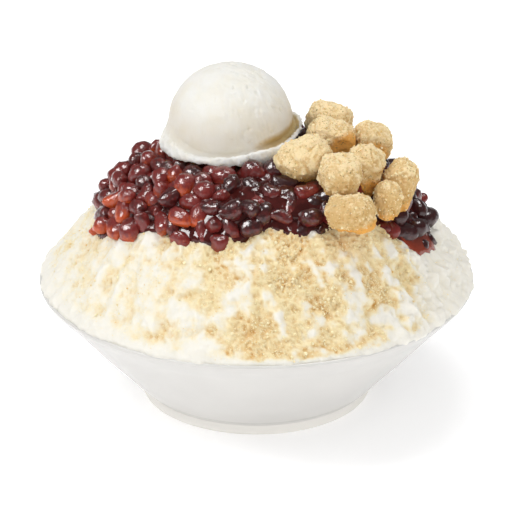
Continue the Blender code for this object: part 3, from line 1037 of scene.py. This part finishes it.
def scoop_relief(places):
    """Drag lines and pits, most of them on the right half of the ball, a slow swell, and a rough edge
    to the skirt."""
    right = 0.3 + 0.7 * step_between(-8.0 * MM, 12.0 * MM, places[..., 0])
    drag = noise(places * (1.0, 1.0, 0.35), 2.0 * MM, 80) + 0.7 * noise(places, 3.6 * MM, 81)
    pits = np.maximum(0.0, noise(places, 2.4 * MM, 82) - 0.35)
    swell = layered_noise(places, 17.0 * MM, 83, 2)
    skirt = step_between(27.5 * MM, 29.5 * MM, np.hypot(places[..., 0], places[..., 1]))
    rough = layered_noise(places, 2.6 * MM, 85, 3)
    return right * (0.35 * MM * drag - 1.6 * MM * pits) + 0.45 * MM * swell + 0.55 * MM * skirt * rough


class BINGSU_OT_scoop(bpy.types.Operator):
    """Makes the scoop of ice cream with its thin ragged skirt"""

    bl_idname = "bingsu.scoop"
    bl_label = "Make the ice cream"

    def execute(self, context):
        settings = context.scene.bingsu.scoop
        grid = scoop_grid(settings)
        # Painted shadow and warm bounced light, with some flour, in the crease on the right, and a little
        # painted shade on the lower part of the ball above it
        row = np.arange(len(grid))[:, None] - BALL_ROWS
        crease = step_between(-13.0, -3.0, row) * (1.0 - step_between(7.0, 14.0, row))
        towards_right = np.cos(np.arctan2(grid[..., 1], grid[..., 0]) + 0.35)
        stained = 0.22 * step_between(-60.0, -10.0, row) * (1.0 - step_between(0.0, 10.0, row))
        dusted = np.maximum(crease * step_between(0.5, 0.92, towards_right), stained)
        grid = grid + scoop_relief(grid)[..., None] * normals_of(grid)
        top = (0.0, 0.0, grid[0, :, 2].mean())
        base = (0.0, 0.0, grid[-1, :, 2].mean())
        points, faces = closed_surface(grid, top, base)
        points = points @ SCOOP_TURN.T + SCOOP_SEAT
        material = vanilla_ice_cream(settings)
        values = {"dusted": with_poles(dusted)}
        new_piece("vanilla_scoop", points, faces, material, ["ice_cream"], values)
        return {"FINISHED"}


# Rice cakes

def floured_dough(settings):
    """Pounded rice rolled in roasted soybean flour: a dry, crumbly, pale coating with tiny bits of hull.
    Its tone is painted light and shade: paler on tops and on the crust's ridges, darker between the
    crumbs, and lighter the higher the cake lies. A painted golden glow of light bounced between the cakes
    lies on their undersides and on the sides that face a neighbour."""
    finish = {"Roughness": 0.9, "IOR": 1.4, **sunk_light(0.15, (3.0, 1.6, 0.7))}
    material, shader = new_material("rice cake in soybean flour", finish)
    grain = pattern(material, 1.0 * MM, 3.0, 0.7)
    crumbly = between(material, pattern(material, 8.0 * MM, 1.0), 0.4, 0.58)
    # Painted light and shade: lighter on tops and on the crust's ridges, darker in the crevices
    relief = calculate(material, "MULTIPLY", attribute(material, "coat_shading"), 0.8)
    coat_shading = calculate(material, "ADD", relief, calculate(material, "MULTIPLY", grain, 0.5))
    base = mixed(material, between(material, coat_shading, 0.3, 0.6), settings.crevice_shade, settings.flour)
    base = mixed(material, between(material, coat_shading, 0.58, 0.88), base, settings.lit_flour)
    # Painted golden glow of light bounced between the cakes, on the undersides and the sides that face a
    # neighbour
    bare = calculate(material, "MULTIPLY", attribute(material, "thin"), 1.4)
    bare = calculate(material, "SUBTRACT", bare, grain)
    base = mixed(material, between(material, bare, -0.2, 0.8), base, settings.golden_glow)
    hulls = between(material, pattern(material, 0.8 * MM, 2.0, 0.5, 0.0, (3.0, 9.0, 2.0)), 0.58, 0.74)
    hulls = calculate(material, "MULTIPLY", hulls, calculate(material, "MULTIPLY_ADD", crumbly, 0.55))
    colour_from(material, shader, mixed(material, hulls, base, settings.specks))
    add_bump(material, shader, grain, 0.35 * MM, 0.8)
    return material


def radius_towards(directions, corners):
    """How far out a form with these corners reaches in each direction: the mean of the corners' radii,
    weighted by how near their directions are."""
    radii = np.linalg.norm(corners, axis=1)
    near = np.exp(24.0 * (directions @ (corners / radii[:, None]).T - 1.0))
    return (near @ radii) / near.sum(axis=-1)


def rice_cake_grid(node, settings, seed):
    """A cake's form from its CAD corners, as radii in each direction from its middle. It is cut flat by
    planes, which leaves rounded facets, and gets its peaks and notches and the crumbly crust's relief. It
    also gives the painted light and shade of its flour, lighter on top and on the crust's ridges, darker
    in the crevices and lighter the higher the cake lies, and where a painted golden glow of light bounced
    between the cakes lies, on the undersides and on the sides that face a neighbour."""
    corners = np.array([vertex.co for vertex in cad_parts[node].data.vertices])
    centre = (corners.min(axis=0) + corners.max(axis=0)) / 2.0
    away = np.unique(np.round(corners - centre, 6), axis=0)
    rng = np.random.default_rng(seed)
    cuts = rng.normal(size=(CAKE_CUTS, 3))
    cuts /= np.linalg.norm(cuts, axis=1, keepdims=True)
    ways = ball_grid(CAKE_ROWS, CAKE_COLUMNS)
    depth = radius_towards(cuts, away) * rng.uniform(0.93, 1.0, len(cuts))
    facing = np.clip(ways @ cuts.T, 0.02, 1.0)
    flat = ((facing / depth) ** CUT_SHARPNESS).sum(axis=2) ** (-1.0 / CUT_SHARPNESS)
    radius = np.minimum(flat, 1.05 * radius_towards(ways, away))
    for way, height, width in CAKE_MARKS.get(node, ()):
        turned = np.arccos(np.clip(ways @ np.array(way) / np.linalg.norm(way), -1.0, 1.0))
        radius = radius + height * MM * np.exp(-((turned / width) ** 2))
    places = ways * radius[..., None] + 0.1 * seed
    crumbly = 0.45 + 0.8 * step_between(-0.2, 0.5, noise(places, 8.0 * MM, 97))
    crust = 1.5 * np.abs(noise(places, 4.6 * MM, 90)) + 0.9 * np.abs(noise(places, 1.9 * MM, 95)) - 0.45
    crust = crumbly * (crust + 0.35 * noise(places, 1.1 * MM, 96))
    radius = radius + settings.crust_height * crust
    # Painted glow: the undersides, and the side listed for each cake, get the golden glow of bounced light
    thin = 0.75 * step_between(0.35, 0.95, -ways[..., 2] - 0.2 * ways[..., 1])
    if node in GLOW_SIDES:
        side = np.array(GLOW_SIDES[node])
        thin = np.maximum(thin, step_between(0.35, 0.9, ways @ side / np.linalg.norm(side)))
    # Painted light and shade: tops and the crust's ridges lighter, crevices darker; also lighter the
    # higher the cake lies
    higher = (centre[2] - 115.0 * MM) / (60.0 * MM)
    coat_shading = 0.45 + 0.2 * ways[..., 2] + 0.5 * crust + higher
    return ways * radius[..., None] + centre, coat_shading, thin


class BINGSU_OT_rice_cakes(bpy.types.Operator):
    """Makes the nine rice cakes in their coats of soybean flour"""

    bl_idname = "bingsu.rice_cakes"
    bl_label = "Make the rice cakes"

    def execute(self, context):
        settings = context.scene.bingsu.cakes
        material = floured_dough(settings)
        rng = np.random.default_rng(8)
        where, sizes = [], []
        for seed, node in enumerate(RICE_CAKES):
            grid, coat_shading, thin = rice_cake_grid(node, settings, seed)
            points, faces = closed_surface(grid, grid[0].mean(axis=0), grid[-1].mean(axis=0))
            values = {
                name: with_poles(value, value[0].mean(), value[-1].mean())
                for name, value in (("coat_shading", coat_shading), ("thin", thin))
            }
            new_piece("floured_" + node, points, faces, material, [node], values)
            weight = (1.05 - thin[:-1]) * np.clip(coat_shading[:-1], 0.2, 1.2)
            places, normals = places_on(grid, weight, settings.loose, rng)
            radii = CAKE_CRUMB_RADIUS * rng.lognormal(0.0, 0.45, settings.loose).clip(0.5, 2.6)
            where.append(places + 0.35 * radii[:, None] * normals)
            sizes.append(radii)
        where, sizes = np.concatenate(where), np.concatenate(sizes)
        points, faces = lumps(octahedron(), where, sizes, rng)
        values = {"roast": rng.beta(2.0, 2.5, len(where)).repeat(6)}
        dust = soybean_flour(context.scene.bingsu.flour)
        new_piece("soybean_flour_on_cakes", points, faces, dust, (), values, smooth=False)
        return {"FINISHED"}


# Stage

class BINGSU_OT_stage(bpy.types.Operator):
    """Lays the pale floor and sets the soft lights and the camera"""

    bl_idname = "bingsu.stage"
    bl_label = "Make the stage"

    def execute(self, context):
        settings = context.scene.bingsu.stage
        self.make_floor(settings)
        self.make_lights(context.scene)
        self.make_camera(context.scene, settings)
        context.scene.view_settings.view_transform = "Standard"
        return {"FINISHED"}

    def make_floor(self, settings):
        """A pale flat floor, 8 m across, that glows a little so that it stays white."""
        finish = {"Roughness": 0.75, "Emission Color": (1.0, 1.0, 1.0, 1.0), "Emission Strength": 0.22}
        material, shader = new_material("white studio floor, lit from below", finish)
        tone = between(material, pattern(material, 0.4), 0.3, 0.7)
        shade = tuple(0.99 * channel for channel in settings.floor)
        colour_from(material, shader, mixed(material, tone, settings.floor, shade))
        mesh = bpy.data.meshes.new("floor")
        mesh.from_pydata([(-4, -4, 0), (4, -4, 0), (4, 4, 0), (-4, 4, 0)], [], [(0, 1, 2, 3)])
        mesh.materials.append(material)
        floor = bpy.data.objects.new("floor", mesh)
        bpy.context.scene.collection.objects.link(floor)

    def make_lights(self, scene):
        """White light from all round, dimmer where it is mirrored, and the lamps."""
        world = bpy.data.worlds.new("white studio")
        world.use_nodes = True
        background = world.node_tree.nodes["Background"]
        background.inputs["Color"].default_value = (1.0, 1.0, 1.0, 1.0)
        glossy = add_node(world, "ShaderNodeLightPath").outputs["Is Glossy Ray"]
        settings = {"To Min": 0.62, "To Max": 0.12}
        strength = add_node(world, "ShaderNodeMapRange", settings, {"Value": glossy}).outputs[0]
        world.node_tree.links.new(strength, background.inputs["Strength"])
        scene.world = world
        for name, place, size, power, only_mirrored in LAMPS:
            light = bpy.data.lights.new(name, "AREA")
            light.size = size
            light.energy = power
            lamp = bpy.data.objects.new(name, light)
            lamp.visible_camera = False
            lamp.visible_glossy = only_mirrored
            lamp.visible_diffuse = not only_mirrored
            lamp.location = place
            ahead = Vector(LAMP_TARGET) - lamp.location
            lamp.rotation_euler = ahead.to_track_quat("-Z", "Y").to_euler()
            scene.collection.objects.link(lamp)

    def make_camera(self, scene, settings):
        """A long lens in front of the bowl that looks down on it."""
        camera = bpy.data.cameras.new("camera")
        camera.lens = settings.lens
        camera.sensor_width = 36.0
        camera.clip_end = 20.0
        holder = bpy.data.objects.new("camera", camera)
        back = Vector((0.0, -math.cos(settings.elevation), math.sin(settings.elevation)))
        holder.location = Vector(CAMERA_TARGET) + settings.distance * back
        holder.rotation_euler = (-back).to_track_quat("-Z", "Y").to_euler()
        scene.collection.objects.link(holder)
        scene.camera = holder


class BINGSU_PT_panel(bpy.types.Panel):
    """Lists the pieces and their settings"""

    bl_idname = "BINGSU_PT_panel"
    bl_label = "Bingsu"
    bl_space_type = "VIEW_3D"
    bl_region_type = "UI"
    bl_category = "Bingsu"

    def draw(self, context):
        for operator in OPERATORS:
            self.layout.operator(operator.bl_idname)
        for group in ("bowl", "snow", "flour", "beans", "scoop", "cakes", "stage"):
            box = self.layout.box()
            box.label(text=group.capitalize())
            settings = getattr(context.scene.bingsu, group)
            for name in type(settings).__annotations__:
                box.prop(settings, name)


GROUPS = (
    BowlSettings,
    SnowSettings,
    FlourSettings,
    BeanSettings,
    ScoopSettings,
    CakeSettings,
    StageSettings,
)
OPERATORS = (
    BINGSU_OT_stage,
    BINGSU_OT_bowl,
    BINGSU_OT_snow,
    BINGSU_OT_flour,
    BINGSU_OT_beans,
    BINGSU_OT_scoop,
    BINGSU_OT_rice_cakes,
)
CLASSES = (*GROUPS, BingsuSettings, *OPERATORS, BINGSU_PT_panel)


def register():
    """Adds the settings, operators and panel to Blender."""
    for made in CLASSES:
        bpy.utils.register_class(made)
    bpy.types.Scene.bingsu = PointerProperty(type=BingsuSettings)


def unregister():
    """Takes them out again."""
    del bpy.types.Scene.bingsu
    for made in reversed(CLASSES):
        bpy.utils.unregister_class(made)


def main():
    """Makes the stage and every piece."""
    register()
    bpy.ops.bingsu.stage()
    bpy.ops.bingsu.bowl()
    bpy.ops.bingsu.snow()
    bpy.ops.bingsu.flour()
    bpy.ops.bingsu.beans()
    bpy.ops.bingsu.scoop()
    bpy.ops.bingsu.rice_cakes()


if __name__ == "__main__":
    main()
